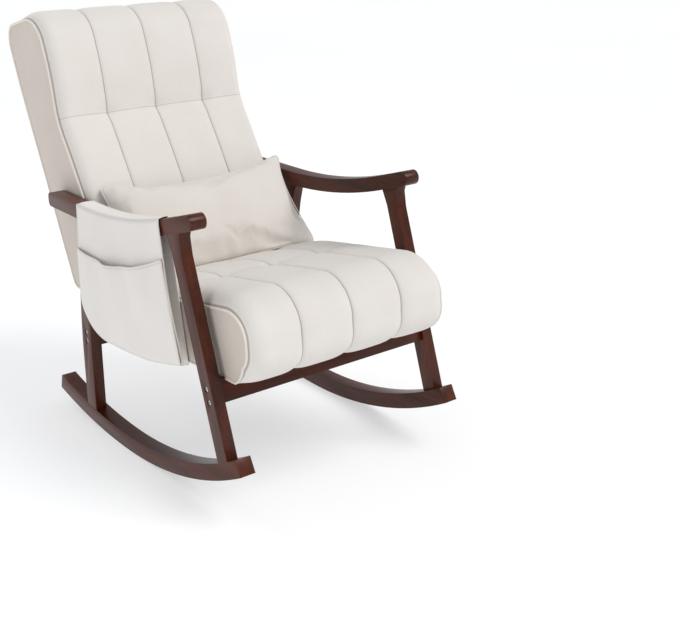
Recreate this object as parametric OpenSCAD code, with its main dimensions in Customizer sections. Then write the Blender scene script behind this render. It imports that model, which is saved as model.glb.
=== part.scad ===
// Upholstered nursery rocking chair: two wooden side frames on curved runners,
// a deep channelled seat and back, a lumbar pillow and a saddle bag on one arm.
// The sitter faces -Y. Side outlines are drawn in (Y, Z) and extruded along X.
// The origin is on the floor, midway between the points where the runners touch it.

/* [Overall] */
// Width over the two side frames
chair_w = 650; // [620:5:700]
// Width of each armrest
arm_w = 41; // [38:1:44]
// Width of each runner
runner_w = 40; // [36:1:42]
// Thickness of the legs across the chair
leg_w = 29; // [24:1:32]

/* [Runners] */
// Radius of the sole in front of the floor contact
sole_r_front = 1044; // [1000:10:1150]
// Radius of the sole behind the floor contact
sole_r_rear = 1416; // [1300:20:1600]
// Reach of the sole in front of the floor contact
runner_front = 510; // [494:2:524]
// Reach of the sole behind the floor contact
runner_rear = 358; // [346:2:371]
// Height of the runner's section
runner_h = 40; // [36:1:44]

/* [Legs] */
// Lean of the front leg from the vertical, in degrees
front_leg_lean = 18.7; // [18:0.1:19.5]
// Depth of the front leg at its foot
front_leg_depth = 43; // [40:1:50]
// Depth of the front leg at its slimmest place
front_leg_slim = 40; // [36:1:44]
// Depth of the rear leg
rear_leg_depth = 47; // [42:1:50]
// How far the top of the rear leg sweeps forward
rear_leg_sweep = 42; // [30:2:50]

/* [Armrests] */
// Height of the level rear stretch of the armrest above the floor
arm_top = 599; // [590:1:605]
// Thickness of the armrest
arm_t = 36; // [34:1:40]
// Radius of the armrest's upward sweep
arm_sweep_r = 1250; // [1150:10:1350]
// Angle through which the armrest sweeps up, in degrees
arm_sweep = 17.5; // [16:0.5:19]

/* [Seat] */
// Width of the seat and of the back
cushion_w = 558; // [540:2:560]
// Thickness of the seat at its front roll
seat_h = 168; // [160:2:174]
// Slope of the underside, in degrees
seat_tilt = 4; // [3:0.5:5]
// How much steeper the top slopes than the underside, in degrees
seat_wedge = 5.5; // [4.5:0.5:6]

/* [Back] */
// Lean of the back from the vertical, in degrees
back_lean = 22; // [20:0.5:24]
// Length of the back along its lean
back_len = 705; // [660:5:720]
// Thickness of the back
back_t = 188; // [180:2:196]
// Radius of the roll at the front of its top
back_roll = 92; // [70:2:96]

/* [Lumbar pillow] */
// Width of the pillow
pillow_w = 535; // [500:5:550]
// Height of the pillow
pillow_h = 285; // [260:5:300]
// Thickness of the pillow at its middle
pillow_t = 104; // [80:2:110]

/* [Saddle bag] */
// Length of the bag along the armrest
bag_len = 390; // [360:5:400]
// Drop of the outer panel below the top of the armrest
bag_drop = 332; // [300:2:340]
// Height of the outer pocket
pocket_h = 225; // [190:5:235]
// Depth of the pocket at its mouth
pocket_gap = 22; // [14:1:26]
// Thickness of the cloth with its lining
cloth_t = 2; // [1.5:0.1:2.5]

/* [Hidden] */
$fn = 96;

fine = 480;         // segments on the long-radius arcs
half_w = chair_w / 2;
arm_in = half_w - arm_w;
leg_in = half_w - leg_w;
cushion_x = cushion_w / 2;
fit = 0.2;          // radial clearance of bolts, screws and dowels
skin = 2;           // upholstery cloth
gap = 6.5;          // clear space between the seat and the back
overlap = 1;        // by which two stretches of one outline run into each other

wood = [0.25, 0.13, 0.10];
cloth = [0.90, 0.88, 0.85];
welt = [0.84, 0.81, 0.77];
foam = [0.95, 0.90, 0.70];
steel = [0.72, 0.73, 0.75];
ply = [0.76, 0.62, 0.43];
black_cloth = [0.12, 0.12, 0.13];

// Centre line of the front leg at height z, and half its depth there
front_foot = [-433, 160];
slim_z = 540;
function front_leg_y(z) = front_foot[0] + (z - front_foot[1]) * tan(front_leg_lean);
function flare(z, from) = 9 * pow(max(0, z - from) / 40, 2);
function front_leg_half(z) = (front_leg_slim
    + (front_leg_depth - front_leg_slim) * (slim_z - z) / (slim_z - front_foot[1])) / 2
    + flare(z, 590);
// The same for the rear leg, upright at its foot and swept forward above
rear_foot_y = 180;
rear_bend_z = 190;
rear_top_z = 560;
function rear_leg_y(z) = rear_foot_y
    - rear_leg_sweep * pow(max(0, z - rear_bend_z) / (rear_top_z - rear_bend_z), 2);
function rear_leg_half(z) = rear_leg_depth / 2 + flare(z, 525);

// Frames of the slanted parts, as places of their own origins in (Y, Z)
seat_at = [-496, 326];
back_at = [148, 397];
seat_depth = 757;
seat_x = cushion_x - skin;
board = 18;         // thickness of the frames' plywood
seat_board_h = 62;
back_board_u = [45, 118];

// Rails between the legs, in (Y, Z) of their middle, with section and lean
front_rail_mid = [front_leg_y(296), 296];
rear_rail_mid = [rear_leg_y(257), 257];
rail_size = [24, 68];
front_bolt_z = [271, 300];
rear_bolt_z = [238, 262];
bolt_r = 3;
bolt_head_r = 6.5;
bolt_head_t = 4;
counterbore_t = 6;
bolt_len = 66;
nut_r = 5;
nut_inset = 30;     // from the rail's end to the middle of its barrel nut
nut_len = 17;

dowel_r = 5;
dowel_half = 20;
dowel_pitch = 22;

// Extrudes a (Y, Z) outline from x0 over the width w
module along_x(x0, w) translate([x0, 0, 0]) rotate([90, 0, 90]) linear_extrude(w) children();
// Left is the sitter's left, at +X. The other side is its mirror image
module on_right() mirror([1, 0, 0]) children();
module x_rod(r, x0, w, y, z) translate([x0, y, z]) rotate([0, 90, 0]) cylinder(r = r, h = w);

// A band of a ring between two radii and two angles
module band(r_in, r_out, a0, a1) intersection() {
    difference() {
        circle(r_out, $fn = fine);
        circle(r_in, $fn = fine);
    }
    reach = 2 * r_out;
    polygon([[0, 0], reach * [cos(a0), sin(a0)], reach * [cos(a1), sin(a1)]]);
}

front_angle = asin(runner_front / sole_r_front);
rear_angle = asin(runner_rear / sole_r_rear);
module runner_outline() {
    translate([0, sole_r_front])
        band(sole_r_front - runner_h, sole_r_front, -90 - front_angle, -90);
    translate([0, sole_r_rear])
        band(sole_r_rear - runner_h, sole_r_rear, -90, -90 + rear_angle);
}

// Everything above the runner's top face, and everything below the armrest
module above_runner() {
    translate([0, sole_r_front]) intersection() {
        circle(sole_r_front - runner_h, $fn = fine);
        translate([-2 * sole_r_front, -sole_r_front]) square(2 * sole_r_front);
    }
    translate([0, sole_r_rear]) intersection() {
        circle(sole_r_rear - runner_h, $fn = fine);
        translate([0, -sole_r_rear]) square(2 * sole_r_rear);
    }
}
arm_bend_y = 131;
arm_rear_y = 332;
arm_nose = 88;      // straight stretch between the sweep and the nose
arm_centre = [arm_bend_y, arm_top + arm_sweep_r];
arm_mid_r = arm_sweep_r + arm_t / 2;
sweep_end = arm_centre + arm_mid_r * [-sin(arm_sweep), -cos(arm_sweep)];
nose_at = sweep_end + arm_nose * [-cos(arm_sweep), sin(arm_sweep)];
module arm_outline() {
    round_r = 12;
    translate([arm_bend_y, arm_top - arm_t])
        square([arm_rear_y - arm_bend_y - round_r, arm_t]);
    translate([arm_bend_y, arm_top - arm_t + round_r])
        square([arm_rear_y - arm_bend_y, arm_t - 2 * round_r]);
    for (z = [arm_top - arm_t + round_r, arm_top - round_r])
        translate([arm_rear_y - round_r, z]) circle(round_r);
    translate(arm_centre)
        band(arm_sweep_r, arm_sweep_r + arm_t, -90 - arm_sweep, -90);
    translate(sweep_end) rotate(180 - arm_sweep)
        translate([-overlap, -arm_t / 2]) square([arm_nose + overlap, arm_t]);
    translate(nose_at) circle(arm_t / 2);
}
module above_arm_underside() {
    translate([arm_bend_y, arm_top - arm_t]) square(400);
    translate(arm_centre) circle(arm_sweep_r + arm_t, $fn = fine);
    translate(sweep_end) rotate(180 - arm_sweep) mirror([0, 1])
        translate([0, -arm_t / 2]) square(400);
}

leg_steps = [for (k = [0:14]) k / 14];
module front_leg_outline() difference() {
    intersection() {
        levels = [for (k = leg_steps) 105 + k * 560];
        polygon(concat(
            [for (z = levels) [front_leg_y(z) - front_leg_half(z), z]],
            [for (k = [14:-1:0]) [front_leg_y(levels[k]) + front_leg_half(levels[k]), levels[k]]]));
        above_runner();
    }
    above_arm_underside();
}
module rear_leg_outline() difference() {
    intersection() {
        levels = [for (k = leg_steps) 40 + k * 545];
        polygon(concat(
            [for (z = levels) [rear_leg_y(z) - rear_leg_half(z), z]],
            [for (k = [14:-1:0]) [rear_leg_y(levels[k]) + rear_leg_half(levels[k]), levels[k]]]));
        above_runner();
    }
    above_arm_underside();
}

// Dowels: place in (Y, Z) and lean of each joint between a leg and its neighbour
leg_x = half_w - leg_w / 2;
function runner_top(y) = y < 0
    ? sole_r_front - sqrt(pow(sole_r_front - runner_h, 2) - y * y)
    : sole_r_rear - sqrt(pow(sole_r_rear - runner_h, 2) - y * y);
function arm_under(y) = arm_centre[1] - sqrt(pow(arm_sweep_r + arm_t, 2)
    - pow(min(0, y - arm_bend_y), 2));
front_foot_y = front_leg_y(141);
front_head_y = front_leg_y(625);
joints = [
    [front_foot_y, runner_top(front_foot_y), front_leg_lean],
    [front_head_y, arm_under(front_head_y), front_leg_lean],
    [rear_foot_y, runner_top(rear_foot_y), 0],
    [rear_leg_y(rear_top_z), arm_under(rear_leg_y(rear_top_z)), 12]];
module dowels_at(which, r, half) for (k = which, side = [-1, 1])
    translate([leg_x, joints[k][0], joints[k][1]]) rotate([-joints[k][2], 0, 0])
        translate([0, side * dowel_pitch / 2, -half]) cylinder(r = r, h = 2 * half);
module dowel_holes(which) dowels_at(which, dowel_r + fit, dowel_half + 1);

module rail_bolt_places(front) {
    for (z = front ? front_bolt_z : rear_bolt_z)
        translate([0, front ? front_leg_y(z) : rear_leg_y(z), z]) children();
}
module bolt_holes(front) rail_bolt_places(front) {
    x_rod(bolt_r + fit, leg_in - 1, leg_w + 2, 0, 0);
    x_rod(bolt_head_r + fit, half_w - counterbore_t, counterbore_t + 1, 0, 0);
}

module runner() difference() {
    along_x(half_w - runner_w, runner_w) runner_outline();
    dowel_holes([0, 2]);
}
module front_leg() difference() {
    along_x(leg_in, leg_w) front_leg_outline();
    dowel_holes([0, 1]);
    bolt_holes(true);
}
module rear_leg() difference() {
    along_x(leg_in, leg_w) rear_leg_outline();
    dowel_holes([2, 3]);
    bolt_holes(false);
}
// The insert at the rear end takes the bolt that comes out of the back
arm_bolt_at = [298, 580];
insert_r = 5;
insert_len = 16;
module armrest() difference() {
    along_x(arm_in, arm_w) arm_outline();
    dowel_holes([1, 3]);
    x_rod(insert_r, arm_in - 1, insert_len + 1, arm_bolt_at[0], arm_bolt_at[1]);
}
module left_runner() color(wood) runner();
module right_runner() color(wood) on_right() runner();
module left_front_leg() color(wood) front_leg();
module right_front_leg() color(wood) on_right() front_leg();
module left_rear_leg() color(wood) rear_leg();
module right_rear_leg() color(wood) on_right() rear_leg();
module left_armrest() color(wood) armrest();
module right_armrest() color(wood) on_right() armrest();
module both_sides() {
    children();
    on_right() children();
}
module leg_dowels() color(ply) both_sides()
    dowels_at([0, 1, 2, 3], dowel_r, dowel_half);

// Screws rise through the rails into the seat frame
screw_r = 2.5;
screw_len = 48;
screw_x = 190;
function seat_under(y) = seat_at[1] - (y - seat_at[0]) * tan(seat_tilt);
module screw_places() for (x = [-screw_x, screw_x], mid = [front_rail_mid, rear_rail_mid])
    translate([x, mid[0], seat_under(mid[0])]) rotate([-seat_tilt, 0, 0]) children();
module screw_holes() screw_places() {
    translate([0, 0, -screw_len]) cylinder(r = screw_r + fit, h = 2 * screw_len);
    translate([0, 0, -screw_len - 60]) cylinder(r = 2 * screw_r + 1, h = 60 + screw_len / 2);
}
// Each rail is cut along the seat's underside and bored from its rear for barrel nuts
module rail(mid, lean, front) difference() {
    along_x(-leg_in, 2 * leg_in) difference() {
        translate(mid) rotate(-lean) square(rail_size, center = true);
        seat_place() translate([-100, -fit]) square([1000, 200]);
    }
    both_sides() rail_bolt_places(front) {
        x_rod(bolt_r + fit, leg_in - bolt_len + leg_w, bolt_len, 0, 0);
        translate([leg_in - nut_inset, 0, 0]) rotate([90 - lean, 0, 0])
            translate([0, 0, -60]) cylinder(r = nut_r + fit, h = 60 + nut_len / 2 + fit);
    }
    screw_holes();
}
module front_rail() color(wood) rail(front_rail_mid, front_leg_lean, true);
module rear_rail() color(wood) rail(rear_rail_mid, 0, false);
module both_rails_bolts() both_sides() for (front = [true, false])
    rail_bolt_places(front) children();
module rail_bolts() color(steel) both_rails_bolts() {
    x_rod(bolt_r, half_w - counterbore_t - bolt_len + 8, bolt_len - 8, 0, 0);
    difference() {
        x_rod(bolt_head_r, half_w - counterbore_t, bolt_head_t, 0, 0);
        translate([half_w - counterbore_t + 1.5, 0, 0]) rotate([0, 90, 0])
            cylinder(r = 2.3, h = 4, $fn = 6);
    }
}
module rail_barrel_nuts() color(steel) both_sides() for (front = [true, false])
    rail_bolt_places(front) translate([leg_in - nut_inset, 0, 0])
        rotate([90 - (front ? front_leg_lean : 0), 0, 0]) difference() {
            cylinder(r = nut_r, h = nut_len, center = true);
            rotate([90, 0, 0]) rotate([0, 90, 0]) cylinder(r = bolt_r + fit, h = 30, center = true);
        }
module seat_screws() color(steel) screw_places() {
    translate([0, 0, -screw_len / 2]) cylinder(r = screw_r, h = screw_len);
    translate([0, 0, -screw_len / 2 - 3]) cylinder(r = 2 * screw_r, h = 3);
}

// Seat outline, shrunk by g. Its own frame starts at the front of the underside
module seat_own(g) {
    mid = seat_h / 2;
    r = mid - g;
    x_end = seat_depth - g;
    z_end = mid + (r - (x_end - mid) * sin(seat_wedge)) / cos(seat_wedge);
    top = [mid + r * sin(seat_wedge), mid + r * cos(seat_wedge)];
    difference() {
        polygon([[mid - r, g], [mid - r, top[1] + (top[0] - mid + r) * tan(seat_wedge)],
            [x_end, z_end], [x_end, g]]);
        difference() {
            polygon([[-mid, -mid], [mid, -mid], [mid, g], [mid, mid], top, 1.5 * top - 0.5 * [mid, mid],
                [-mid, 3 * mid]]);
            translate([mid, mid]) circle(r);
        }
    }
}
module seat_place() translate(seat_at) rotate(-seat_tilt) children();
module back_place() translate(back_at) rotate(-back_lean) children();
module seat_outline(g) difference() {
    seat_place() seat_own(g);
    back_place() translate([-gap - g, -gap - g]) square(600);
}
// Back outline, shrunk by g, in its own frame: u from front to rear, v up
module back_own(g) {
    rear_r = 35;
    foot_r = 20;
    corners = [[foot_r, foot_r, foot_r], [back_t - foot_r, foot_r, foot_r],
        [back_t - rear_r, back_len - rear_r, rear_r],
        [back_roll, back_len - back_roll, back_roll]];
    for (c = corners) translate([c[0], c[1]]) circle(c[2] - g);
    polygon([[g, foot_r], [foot_r, g], [back_t - foot_r, g], [back_t - g, foot_r],
        [back_t - g, back_len - rear_r], [back_t - rear_r, back_len - g],
        [back_roll, back_len - g], [g, back_len - back_roll]]);
}
module back_outline(g) back_place() back_own(g);

inner = skin + 0.5;
seat_board_x = seat_x - 5;
frame_from = 60;    // start of the seat frame behind the front of the underside
front_board = 92;   // depth of its front board
rear_board_at = 600;
box_from = 640;     // start of the closed box under the back
module seat_frame_outline(g) intersection() {
    seat_outline(inner + g);
    seat_place() {
        translate([frame_from, 0]) square([800, seat_board_h + inner - g]);
        translate([box_from + g, 0]) square([400, 400]);
    }
}
// Open under the springs, with a closed box under the back
module seat_frame() color(ply) difference() {
    along_x(-seat_board_x, 2 * seat_board_x) seat_frame_outline(0);
    along_x(-seat_board_x + board, 2 * seat_board_x - 2 * board) {
        seat_place() translate([frame_from + front_board, -1])
            square([rear_board_at - frame_from - front_board, 300]);
        intersection() {
            seat_frame_outline(board);
            seat_place() translate([rear_board_at + board, 0]) square([400, 300]);
        }
    }
    screw_holes();
    seat_back_bolt_holes(tie_r + fit);
}
spring_n = 5;
spring_pitch = 88;
spring_t = 3.5;
spring_loops = 15;
spring_loop = 34;
// One sinuous spring: half rings joined by short bars, seen from above
module spring_outline() {
    run = 40;
    r = spring_loop / 2;
    for (k = [0:spring_loops - 1]) {
        side = k % 2 == 0 ? 1 : -1;
        translate([side * run / 2, k * spring_loop]) intersection() {
            difference() {
                circle(r + spring_t / 2);
                circle(r - spring_t / 2);
            }
            translate([side > 0 ? 0 : -2 * r, -2 * r]) square([2 * r, 4 * r]);
        }
        translate([-run / 2 - 0.1, k * spring_loop + r - spring_t / 2])
            square([run + 0.2, spring_t]);
    }
    translate([-run / 2 - 0.1, -r - spring_t / 2]) square([run + 0.2, spring_t]);
}
// Puts children on the seat frame's top edge plane, in the seat's own frame
module on_seat_frame() translate([0, seat_at[0], seat_at[1]]) rotate([-seat_tilt, 0, 0])
    translate([0, 0, seat_board_h + inner]) children();
spring_from = 112;
module each_spring() for (k = [0:spring_n - 1])
    translate([(k - (spring_n - 1) / 2) * spring_pitch, spring_from, 0]) children();
module seat_springs() color(steel) on_seat_frame() each_spring()
    translate([0, 0, 0.3]) linear_extrude(spring_t) spring_outline();
module seat_spring_clips() color(steel) on_seat_frame() each_spring()
    for (y = [-spring_loop / 2 - 8, (spring_loops - 0.5) * spring_loop + 8])
        translate([-9, y - 5, 0.3]) cube([18, 10, 3]);
// The foam lies over the frame and its springs and stops at the box
module seat_foam() color(foam) along_x(-seat_x + 0.5, 2 * seat_x - 1) difference() {
    seat_outline(inner);
    seat_place() {
        translate([frame_from - 1, -10]) square([800, seat_board_h + inner + 10 + 6]);
        translate([box_from - 1, -10]) square(400);
    }
}
window = 70;        // hem of the cover that is left beside the openings
window_s = [140, 620];
module seat_window(g, from, thick) translate([0, seat_at[0], seat_at[1]])
    rotate([-seat_tilt, 0, 0])
        translate([-cushion_x + window - g, window_s[0] - g, from])
            cube([cushion_w - 2 * window + 2 * g, window_s[1] - window_s[0] + 2 * g, thick]);
module seat_cover() color(cloth) difference() {
    along_x(-cushion_x, cushion_w) seat_outline(0);
    along_x(-seat_x, 2 * seat_x) seat_outline(skin);
    seat_window(0, -1, skin + 2);
    screw_holes();
    seat_back_bolt_holes(tie_r + 2);
}
module seat_dust_cloth() color(black_cloth) seat_window(8, -1.3, 1);

welt_r = 3;
// Piping round both sides of the seat, apart from its underside, and of the back
module seat_piping() color(welt) both_sides()
    along_x(cushion_x - 2 * welt_r, 2 * welt_r) difference() {
        seat_outline(-welt_r);
        seat_outline(-0.05);
        seat_place() translate([seat_h / 2, -100]) square([1000, 100]);
    }
module back_piping() color(welt) both_sides()
    along_x(cushion_x - 2 * welt_r, 2 * welt_r) difference() {
        back_outline(-welt_r);
        back_outline(-0.05);
    }

// Bolts that tie the back down on the seat, square to the back's foot
tie_x = 170;
tie_u = 82;
tie_r = 4;
tie_head_r = 9;
tie_below = 24.5;   // reach of the shank below the foot of the back
tie_above = 30;
module tie_places() for (x = [-tie_x, tie_x])
    translate([x, back_at[0], back_at[1]]) rotate([-back_lean, 0, 0])
        translate([0, tie_u, 0]) children();
module seat_back_bolt_holes(r) tie_places() {
    translate([0, 0, -150]) cylinder(r = r, h = 200);
    translate([0, 0, -150]) cylinder(r = tie_head_r + 1, h = 150 - tie_below);
}
middle_v = 330;     // height of the middle board along the back
back_top_pad = 20;  // padding over the frame's top board
module back_frame() color(ply) difference() {
    along_x(-seat_board_x, 2 * seat_board_x) back_place() intersection() {
        back_own(inner);
        translate([back_board_u[0], 0])
            square([back_board_u[1] - back_board_u[0], back_len - back_top_pad]);
    }
    // The two bays above and below the middle board
    for (bay = [[board + inner, middle_v], [middle_v + board, back_len - board - back_top_pad]])
        along_x(-seat_board_x + board, 2 * seat_board_x - 2 * board) back_place()
            translate([0, bay[0]]) square([back_t, bay[1] - bay[0]]);
    tie_places() translate([0, 0, -10]) cylinder(r = tie_r + fit, h = 60);
    both_sides() x_rod(bolt_r + fit, seat_board_x - board - 1, board + 2,
        arm_bolt_at[0], arm_bolt_at[1]);
}
module back_bolts() color(steel) tie_places() {
    translate([0, 0, -tie_below]) cylinder(r = tie_r, h = tie_below + tie_above);
    translate([0, 0, -tie_below - 5]) cylinder(r = tie_head_r, h = 5);
    translate([0, 0, board + inner + fit]) cylinder(r = 2 * tie_r, h = 7, $fn = 6);
}
module arm_bolts() color(steel) both_sides() {
    x_rod(bolt_r, seat_board_x - board - 4, arm_in + 13 - seat_board_x + board + 4,
        arm_bolt_at[0], arm_bolt_at[1]);
    x_rod(bolt_head_r, seat_board_x - board - 4.2, 4, arm_bolt_at[0], arm_bolt_at[1]);
}
module arm_inserts() color(steel) both_sides() difference() {
    x_rod(insert_r, arm_in, insert_len, arm_bolt_at[0], arm_bolt_at[1]);
    x_rod(bolt_r, arm_in - 1, insert_len + 2, arm_bolt_at[0], arm_bolt_at[1]);
}
// Elastic bands: upright ones in front of level ones
module back_webbing() color(black_cloth)
    translate([0, back_at[0], back_at[1]]) rotate([-back_lean, 0, 0]) {
        for (k = [0:5]) translate([-seat_board_x, back_board_u[0] - 1.6, 90 + k * 95])
            cube([2 * seat_board_x, 1.5, 50]);
        for (k = [-1:1]) translate([k * 150 - 25, back_board_u[0] - 3.3, 30])
            cube([50, 1.5, 600]);
    }
module back_foam() color(foam)
    along_x(-seat_x + 0.5, 2 * seat_x - 1) back_place() intersection() {
        back_own(inner);
        square([back_board_u[0] - 3.5, 900]);
    }
module back_window(g, from, thick) translate([0, back_at[0], back_at[1]])
    rotate([-back_lean, 0, 0])
        translate([-cushion_x + window - g, back_t + from, window - 20 - g])
            cube([cushion_w - 2 * window + 2 * g, thick, back_len - 2 * window + 2 * g]);
module back_cover() color(cloth) difference() {
    along_x(-cushion_x, cushion_w) back_outline(0);
    along_x(-seat_x, 2 * seat_x) back_outline(skin);
    back_window(0, -skin - 1, skin + 2);
    tie_places() translate([0, 0, -10]) cylinder(r = tie_r + 2, h = 20);
    both_sides() x_rod(bolt_r + 3, seat_x - 5, 10, arm_bolt_at[0], arm_bolt_at[1]);
}
module back_rear_panel() color(cloth) back_window(12, 0.2, 1.5);

// Pillow: two crossed lenses with blunt edges
pillow_at = [9, 97, 537];
pillow_turn = -3.5;
pillow_lean = 44.5;
pillow_roll = -1.5;
module lens(w, t, edge) {
    r = (w * w / 4 + pow((t - edge) / 2, 2)) / (t - edge);
    intersection() {
        translate([0, r - t / 2]) circle(r, $fn = fine);
        translate([0, t / 2 - r]) circle(r, $fn = fine);
        square([w, t], center = true);
    }
}
module pillow_solid(g) intersection() {
    rotate([90, 0, 90]) translate([0, 0, -pillow_w / 2 + g])
        linear_extrude(pillow_w - 2 * g) rotate(90)
            lens(pillow_h - 2 * g, pillow_t - 2 * g, 30 - 2 * g);
    translate([0, 0, -pillow_h / 2 + g]) linear_extrude(pillow_h - 2 * g)
        lens(pillow_w - 2 * g, pillow_t - 2 * g, 34 - 2 * g);
}
module pillow_place() translate(pillow_at) rotate([0, 0, pillow_turn])
    rotate([-pillow_lean, 0, 0]) rotate([0, pillow_roll, 0]) children();
// The cover is open along its lower edge, where its zip closes it
zip_w = 4;
zip_len = 320;
module pillow_slot(g) translate([-zip_len / 2 + g, -zip_w / 2 + g, -pillow_h / 2])
    cube([zip_len - 2 * g, zip_w - 2 * g, pillow_skin]);
pillow_skin = 1.5;
module pillow_cover() color(cloth) pillow_place() difference() {
    pillow_solid(0);
    pillow_solid(pillow_skin);
    pillow_slot(0);
    translate([0, 0, -pillow_skin / 2]) pillow_slot(0);
    translate([0, 0, pillow_skin / 2]) pillow_slot(0);
}
module pillow_zip() color(welt) pillow_place() pillow_slot(fit);
module pillow_filling() color(foam) pillow_place() pillow_solid(pillow_skin + 0.3);

// Saddle bag on the right arm: it follows the armrest's top and hangs on both sides
bag_front_y = -224;
bag_rear_y = bag_front_y + bag_len;
hang = 1.2;         // clearance over the wood
bag_in_x = -(arm_in - hang - cloth_t);
bag_out_x = -(half_w + hang + cloth_t);
bag_skew = 0.25;    // forward slant of the bag's front edge going down
bag_corner = 70;    // cut of its lower rear corner
bag_corner_z = 350;
// Region under the curve that runs at depth a below the armrest's top
module under_arm_top(a) difference() {
    translate([-500, 0]) square([1000, 900]);
    translate([arm_bend_y, arm_top - a]) square(500);
    translate(arm_centre) circle(arm_sweep_r + a, $fn = fine);
}
function bag_edge(y, z) = [y - (arm_top + 40 - z) * bag_skew, z];
module bag_sheet(top, drop, front, rear) intersection() {
    difference() {
        under_arm_top(top);
        under_arm_top(drop);
    }
    polygon([bag_edge(front, 200), bag_edge(front, 720), [rear, 720], [rear, bag_corner_z],
        [rear - 0.3 * bag_corner, bag_corner_z - 0.7 * bag_corner],
        [rear - bag_corner, bag_corner_z - bag_corner], [rear - 2 * bag_corner, 200]]);
}
module bag_saddle() color(cloth)
    along_x(bag_out_x, bag_in_x - bag_out_x)
        bag_sheet(-hang - cloth_t, -hang, bag_front_y, bag_rear_y);
module bag_inner_panel() color(cloth)
    along_x(bag_in_x - cloth_t, cloth_t)
        bag_sheet(-hang + 0.02, bag_drop - 12, bag_front_y + 40, bag_rear_y);
module bag_outer_panel() color(cloth)
    along_x(bag_out_x, cloth_t)
        bag_sheet(-hang + 0.02, bag_drop, bag_front_y, bag_rear_y);
// The pocket stands off the panel and closes at both sides and below
module bag_pocket() color(cloth) difference() {
    along_x(bag_out_x - pocket_gap - cloth_t, pocket_gap + cloth_t - 0.05)
        bag_sheet(bag_drop - pocket_h, bag_drop, bag_front_y + 1, bag_rear_y - 1);
    along_x(bag_out_x - pocket_gap, pocket_gap + 1)
        bag_sheet(bag_drop - pocket_h - 5, bag_drop - 8, bag_front_y + 5, bag_rear_y - 5);
}

left_runner();
right_runner();
left_front_leg();
right_front_leg();
left_rear_leg();
right_rear_leg();
left_armrest();
right_armrest();
front_rail();
rear_rail();
leg_dowels();
rail_bolts();
rail_barrel_nuts();
seat_screws();
seat_frame();
seat_springs();
seat_spring_clips();
seat_foam();
seat_cover();
seat_piping();
seat_dust_cloth();
back_frame();
back_webbing();
back_foam();
back_cover();
back_piping();
back_rear_panel();
back_bolts();
arm_bolts();
arm_inserts();
pillow_cover();
pillow_zip();
pillow_filling();
bag_saddle();
bag_inner_panel();
bag_outer_panel();
bag_pocket();
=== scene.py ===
import math

import bmesh
import bpy
import numpy as np
from mathutils import Matrix, Vector, noise


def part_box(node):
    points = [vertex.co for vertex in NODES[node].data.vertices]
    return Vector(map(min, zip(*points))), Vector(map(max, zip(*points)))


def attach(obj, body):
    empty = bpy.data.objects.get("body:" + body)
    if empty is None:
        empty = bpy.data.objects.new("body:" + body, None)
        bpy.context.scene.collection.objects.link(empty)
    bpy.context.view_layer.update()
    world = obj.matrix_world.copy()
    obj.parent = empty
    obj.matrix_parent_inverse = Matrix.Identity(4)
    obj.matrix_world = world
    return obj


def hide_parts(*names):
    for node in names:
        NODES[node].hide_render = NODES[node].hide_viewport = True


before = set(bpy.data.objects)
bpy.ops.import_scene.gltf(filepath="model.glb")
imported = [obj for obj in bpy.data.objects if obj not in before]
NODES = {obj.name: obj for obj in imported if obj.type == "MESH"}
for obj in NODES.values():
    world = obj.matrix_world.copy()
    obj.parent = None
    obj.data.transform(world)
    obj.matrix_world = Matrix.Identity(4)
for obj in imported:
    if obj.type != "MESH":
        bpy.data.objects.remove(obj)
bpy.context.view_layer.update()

SCENE = bpy.context.scene
MM = 0.001

# ---------------------------------------------------------------- camera

CAMERA_AT = (-1.5737, -2.4015, 1.3677)
CAMERA_YAW, CAMERA_PITCH = 38.862, 20.968
LENS, SENSOR = 62.34, 36


def look_along(obj, way):
    """Turns a camera or a light to look along way, with its top up."""
    obj.rotation_euler = Vector(way).to_track_quat("-Z", "Y").to_euler()


def add_camera():
    """The photograph's camera: it looks yaw degrees from +Y towards +X and pitch degrees down."""
    data = bpy.data.cameras.new("camera")
    data.lens = LENS
    data.sensor_width = SENSOR
    obj = bpy.data.objects.new("camera", data)
    SCENE.collection.objects.link(obj)
    obj.location = CAMERA_AT
    y, p = math.radians(CAMERA_YAW), math.radians(CAMERA_PITCH)
    look_along(obj, (math.sin(y) * math.cos(p), math.cos(y) * math.cos(p), -math.sin(p)))
    SCENE.camera = obj


add_camera()

# ---------------------------------------------------------------- material helpers

WHITE = (1, 1, 1, 1)
# sockets of a colour mix node
MIX_FACTOR, MIX_A, MIX_B, MIX_RESULT = 0, 6, 7, 2


def srgb(r, g, b):
    """Linear colour of an sRGB colour given in 0 to 255."""
    def lin(c):
        c /= 255
        return c / 12.92 if c <= 0.04045 else ((c + 0.055) / 1.055) ** 2.4
    return (lin(r), lin(g), lin(b), 1)


def grey(value):
    """A colour that stands for one number, such as a roughness."""
    return (value, value, value, 1)


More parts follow.
